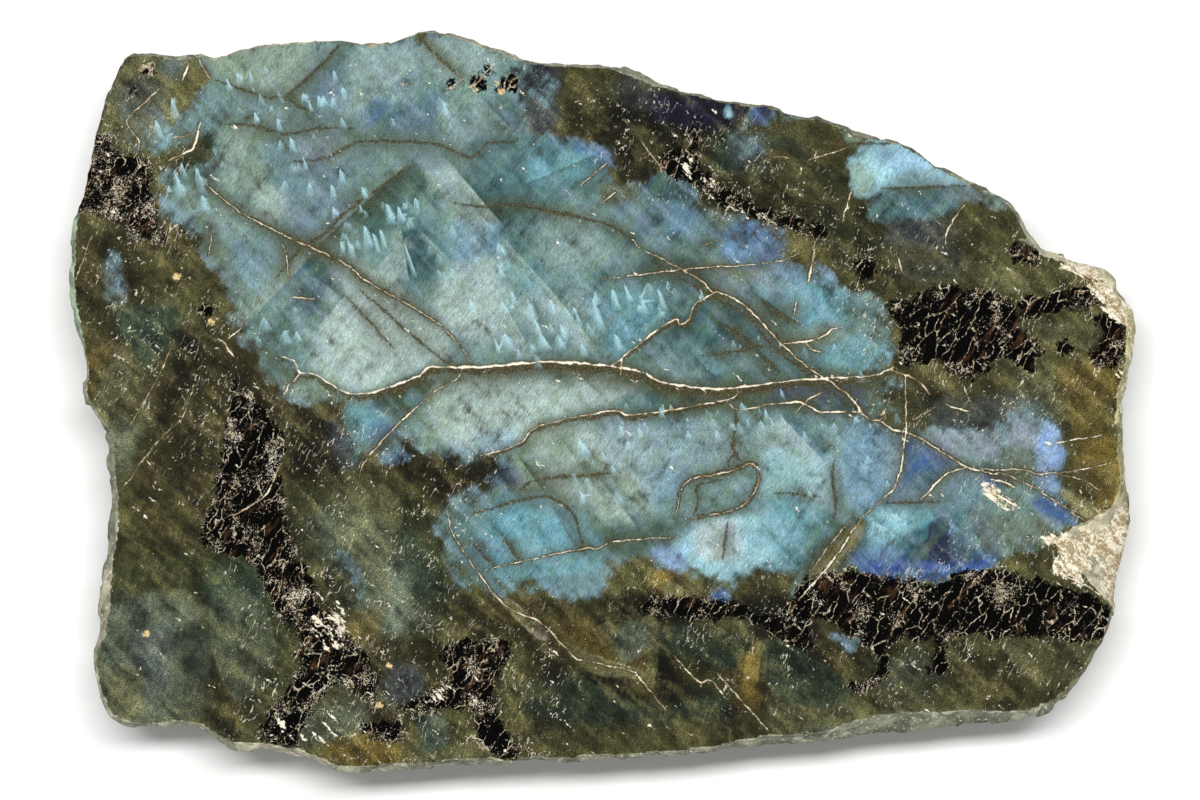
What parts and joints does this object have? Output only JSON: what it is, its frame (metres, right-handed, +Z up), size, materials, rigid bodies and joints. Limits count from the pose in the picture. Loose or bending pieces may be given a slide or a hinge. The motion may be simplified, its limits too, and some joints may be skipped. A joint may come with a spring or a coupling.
{
  "type": "rough labradorite chunk",
  "caption": "Thick slab of labradorite lying on its sawn back, with one polished, blue-green flashing face and a rough broken edge all round.",
  "frame": {"origin": "middle of the stone's box, on the plane of the sawn back that it rests on", "axes": "+X along the stone's longest side, +Y across it, +Z up, out of the polished face"},
  "size_m": [0.1608, 0.1114, 0.024],
  "materials": {
    "labradorite": "polished upper face with blue-green flashes, pale veins and dark plucked patches; rough broken sides; dull sawn back"
  },
  "bodies": {
    "root": {"labradorite_slab": "labradorite"}
  },
  "joints": []
}
